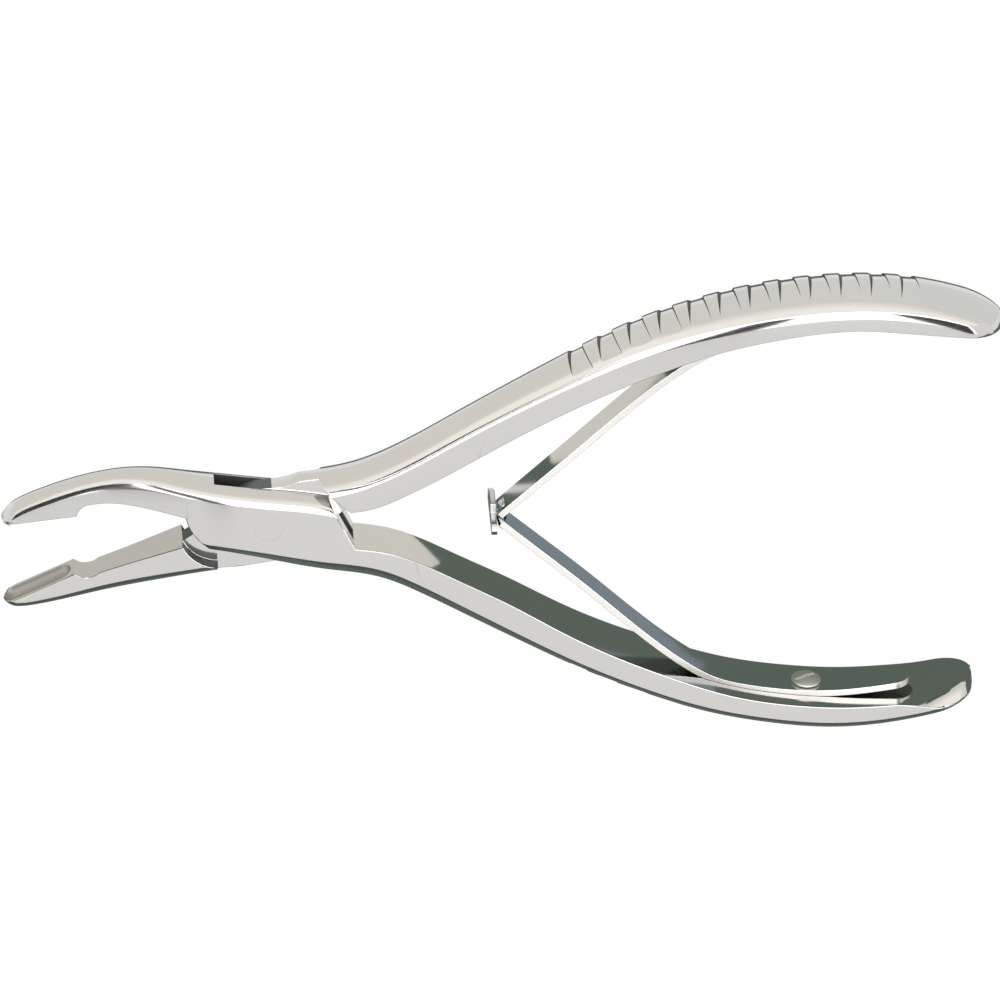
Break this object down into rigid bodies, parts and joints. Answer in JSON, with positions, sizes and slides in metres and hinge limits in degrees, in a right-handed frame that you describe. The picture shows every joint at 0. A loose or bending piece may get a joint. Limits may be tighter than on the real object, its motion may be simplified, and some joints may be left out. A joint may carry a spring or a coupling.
{
  "type": "bone rongeur",
  "caption": "Bone rongeur with cupped jaws, a box lock, crowned handles with grip grooves and a double leaf spring hooked at its middle.",
  "frame": {"origin": "on the pivot axis, at the lower cheek face of the box lock", "axes": "+X from the jaws to the handles, +Y from the lower handle to the upper one, +Z along the pivot axis and up when the instrument lies on its side"},
  "size_m": [0.1403, 0.072, 0.0108],
  "materials": {
    "body_steel": "polished",
    "spring_steel": "polished",
    "screw_steel": "satin"
  },
  "bodies": {
    "box_half": {"box_half": "body_steel", "pivot_pin": "body_steel", "lower_spring_screw": "screw_steel"},
    "tongue_half": {"tongue_half": "body_steel", "upper_spring_screw": "screw_steel"},
    "lower_leaf": {"lower_leaf_spring": "spring_steel"},
    "upper_leaf": {"upper_leaf_spring": "spring_steel"}
  },
  "joints": [
    {"name": "main_pivot", "type": "hinge", "parent": "box_half", "child": "tongue_half", "pos_m": [0, 0, 0.0036], "axis": [0, 0, -1], "range_deg": [0, 18.7], "stiffness_Nm_per_rad": 2},
    {"name": "lower_leaf_flex", "type": "hinge", "parent": "box_half", "child": "lower_leaf", "pos_m": [0.061, -0.0271, 0.0036], "axis": [0, 0, 1], "range_deg": [0, 10], "deforming": ["lower_leaf_spring"]},
    {"name": "upper_leaf_flex", "type": "hinge", "parent": "tongue_half", "child": "upper_leaf", "pos_m": [0.061, 0.0259, 0.0036], "axis": [0, 0, -1], "range_deg": [0, 10], "deforming": ["upper_leaf_spring"]}
  ],
  "couplings": [
    {"joint": "lower_leaf_flex", "follows": "main_pivot", "ratio": 0.507},
    {"joint": "upper_leaf_flex", "follows": "main_pivot", "ratio": 0.446}
  ]
}
